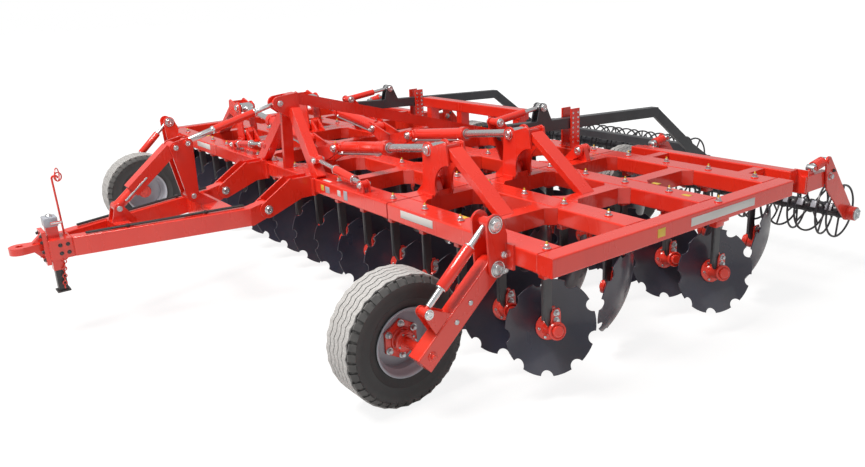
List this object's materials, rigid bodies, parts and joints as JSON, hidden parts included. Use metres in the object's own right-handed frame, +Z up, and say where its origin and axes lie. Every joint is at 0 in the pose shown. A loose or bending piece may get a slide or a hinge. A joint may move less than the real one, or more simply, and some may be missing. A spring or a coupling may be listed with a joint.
{
  "type": "trailed four-row folding compact disc harrow",
  "caption": "Red trailed disc harrow: four rows of notched discs under a rigid centre frame and two hydraulically folding wings, with drawbar, four wheels and three ring rollers.",
  "frame": {"origin": "centre of the bounding box on the ground, midway between the hitch ring tip and the back of the rear roller", "axes": "+X to the machine left, +Y rearwards away from the hitch, +Z up"},
  "size_m": [6.3666, 6.5258, 1.5429],
  "materials": {
    "red_paint": "gloss",
    "graphite_paint": "satin",
    "disc_steel": "satin",
    "roller_black": "satin",
    "plated_rod": "polished",
    "rim_grey": "satin",
    "tyre_rubber": "matte",
    "jack_black": "satin"
  },
  "bodies": {
    "centre_frame": {"centre_cross_beams": "red_paint", "centre_long_beams": "red_paint", "tower": "red_paint", "top_boom": "red_paint", "gooseneck_left": "red_paint", "gooseneck_right": "red_paint", "fold_brackets_left": "red_paint", "fold_brackets_right": "red_paint", "centre_stands": "red_paint", "centre_discs": "disc_steel", "lever_bracket_left": "red_paint", "lever_bracket_right": "red_paint", "rear_gantry": "red_paint", "transport_arm_left": "red_paint", "transport_arm_right": "red_paint", "levelling_screw_left": "red_paint", "levelling_screw_right": "red_paint"},
    "wing_left": {"left_cross_beams": "red_paint", "left_long_beams": "red_paint", "left_masts": "red_paint", "left_stands": "red_paint", "left_discs": "disc_steel", "left_wheel_bracket": "red_paint", "left_wheel_arm": "red_paint", "left_roller_frame": "red_paint"},
    "fold_barrel_pair_left": {"fold_barrels_left": "red_paint"},
    "fold_rod_pair_left": {"fold_rods_left": "plated_rod"},
    "support_wheel_left": {"left_tyre": "tyre_rubber", "left_rim": "rim_grey"},
    "wing_roller_left": {"left_roller_cage": "roller_black"},
    "transport_wheel_body_left": {"transport_wheel_left": "tyre_rubber"},
    "wing_right": {"right_cross_beams": "red_paint", "right_long_beams": "red_paint", "right_masts": "red_paint", "right_stands": "red_paint", "right_discs": "disc_steel", "right_wheel_bracket": "red_paint", "right_wheel_arm": "red_paint", "right_roller_frame": "red_paint"},
    "fold_barrel_pair_right": {"fold_barrels_right": "red_paint"},
    "fold_rod_pair_right": {"fold_rods_right": "plated_rod"},
    "support_wheel_right": {"right_tyre": "tyre_rubber", "right_rim": "rim_grey"},
    "wing_roller_right": {"right_roller_cage": "roller_black"},
    "transport_wheel_body_right": {"transport_wheel_right": "tyre_rubber"},
    "drawbar": {"drawbar_tube_left": "red_paint", "drawbar_tube_right": "red_paint", "drawbar_cross": "red_paint", "hitch_head": "red_paint"},
    "jack": {"jack_leg": "jack_black"},
    "rocker_body": {"rocker": "red_paint"},
    "top_link_body": {"top_link": "red_paint"},
    "lift_barrel_body": {"lift_barrel": "red_paint"},
    "lift_rod_body": {"lift_rod": "red_paint"},
    "roller_lift": {"lever_left": "graphite_paint", "lever_right": "graphite_paint", "lever_tie": "graphite_paint"},
    "lever_barrel_pair": {"lever_barrels": "red_paint"},
    "lever_rod_pair": {"lever_rods": "plated_rod"},
    "rear_roller": {"centre_roller": "roller_black"}
  },
  "joints": [
    {"name": "wing_fold_left", "type": "hinge", "parent": "centre_frame", "child": "wing_left", "pos_m": [1.6, -1.132, 1], "axis": [0, -1, 0], "range_deg": [0, 80]},
    {"name": "fold_barrel_left_swing", "type": "hinge", "parent": "centre_frame", "child": "fold_barrel_pair_left", "pos_m": [0.29, -1.132, 1.08], "axis": [0, -1, 0], "range_deg": [-6, 1]},
    {"name": "fold_rod_left_slide", "type": "slide", "parent": "fold_barrel_pair_left", "child": "fold_rod_pair_left", "axis": [0.9922, 0, 0.1249], "range_m": [-0.315, 0.005]},
    {"name": "wing_fold_right", "type": "hinge", "parent": "centre_frame", "child": "wing_right", "pos_m": [-1.6, -1.132, 1], "axis": [0, 1, 0], "range_deg": [0, 80]},
    {"name": "fold_barrel_right_swing", "type": "hinge", "parent": "centre_frame", "child": "fold_barrel_pair_right", "pos_m": [-0.29, -1.132, 1.08], "axis": [0, 1, 0], "range_deg": [-6, 1]},
    {"name": "fold_rod_right_slide", "type": "slide", "parent": "fold_barrel_pair_right", "child": "fold_rod_pair_right", "axis": [-0.9922, 0, 0.1249], "range_m": [-0.315, 0.005]},
    {"name": "support_wheel_left_spin", "type": "hinge", "parent": "wing_left", "child": "support_wheel_left", "pos_m": [2.42, -1.667, 0.4], "axis": [1, 0, 0], "continuous": true},
    {"name": "wing_roller_left_spin", "type": "hinge", "parent": "wing_left", "child": "wing_roller_left", "pos_m": [2.3, 2.153, 0.48], "axis": [1, 0, 0], "continuous": true},
    {"name": "transport_wheel_left_spin", "type": "hinge", "parent": "centre_frame", "child": "transport_wheel_body_left", "pos_m": [1.15, 1.868, 0.4], "axis": [1, 0, 0], "continuous": true},
    {"name": "support_wheel_right_spin", "type": "hinge", "parent": "wing_right", "child": "support_wheel_right", "pos_m": [-2.42, -1.667, 0.4], "axis": [1, 0, 0], "continuous": true},
    {"name": "wing_roller_right_spin", "type": "hinge", "parent": "wing_right", "child": "wing_roller_right", "pos_m": [-2.3, 2.153, 0.48], "axis": [1, 0, 0], "continuous": true},
    {"name": "transport_wheel_right_spin", "type": "hinge", "parent": "centre_frame", "child": "transport_wheel_body_right", "pos_m": [-1.15, 1.868, 0.4], "axis": [1, 0, 0], "continuous": true},
    {"name": "drawbar_swing", "type": "hinge", "parent": "centre_frame", "child": "drawbar", "pos_m": [0, -1.532, 0.745], "axis": [1, 0, 0], "range_deg": [-6, 8]},
    {"name": "rocker_swing", "type": "hinge", "parent": "drawbar", "child": "rocker_body", "pos_m": [0, -1.955, 0.861], "axis": [1, 0, 0], "range_deg": [-13, 10]},
    {"name": "top_link_swing", "type": "hinge", "parent": "centre_frame", "child": "top_link_body", "pos_m": [0, -1.144, 1.473], "axis": [1, 0, 0], "range_deg": [-4, 5]},
    {"name": "lift_barrel_swing", "type": "hinge", "parent": "drawbar", "child": "lift_barrel_body", "pos_m": [0, -2.507, 0.867], "axis": [1, 0, 0], "range_deg": [-4.5, 3.5]},
    {"name": "lift_rod_slide", "type": "slide", "parent": "lift_barrel_body", "child": "lift_rod_body", "axis": [0, 0.7745, 0.6325], "range_m": [-0.07, 0.09]},
    {"name": "jack_slide", "type": "slide", "parent": "drawbar", "child": "jack", "axis": [0, 0, 1], "range_m": [-0.3, 0]},
    {"name": "roller_lift_swing", "type": "hinge", "parent": "centre_frame", "child": "roller_lift", "pos_m": [0, 0.288, 1.13], "axis": [1, 0, 0], "range_deg": [-5, 2]},
    {"name": "lever_barrel_swing", "type": "hinge", "parent": "centre_frame", "child": "lever_barrel_pair", "pos_m": [0, 0.198, 1.256], "axis": [1, 0, 0], "range_deg": [-5, 2.5]},
    {"name": "lever_rod_slide", "type": "slide", "parent": "lever_barrel_pair", "child": "lever_rod_pair", "axis": [0, 0.9931, 0.1172], "range_m": [-0.01, 0.02]},
    {"name": "rear_roller_spin", "type": "hinge", "parent": "roller_lift", "child": "rear_roller", "pos_m": [0, 3.048, 0.48], "axis": [1, 0, 0], "continuous": true}
  ],
  "couplings": [
    {"joint": "fold_barrel_left_swing", "follows": "wing_fold_left", "ratio": -0.059},
    {"joint": "fold_rod_left_slide", "follows": "wing_fold_left", "m_per_rad": -0.2175},
    {"joint": "fold_barrel_right_swing", "follows": "wing_fold_right", "ratio": -0.059},
    {"joint": "fold_rod_right_slide", "follows": "wing_fold_right", "m_per_rad": -0.2175},
    {"joint": "rocker_swing", "follows": "drawbar_swing", "ratio": -1.5456},
    {"joint": "top_link_swing", "follows": "drawbar_swing", "ratio": 0.5476},
    {"joint": "lift_barrel_swing", "follows": "drawbar_swing", "ratio": -0.4746},
    {"joint": "lift_rod_slide", "follows": "drawbar_swing", "m_per_rad": 0.5385},
    {"joint": "lever_barrel_swing", "follows": "roller_lift_swing", "ratio": 0.8462},
    {"joint": "lever_rod_slide", "follows": "roller_lift_swing", "m_per_rad": -0.1337}
  ]
}
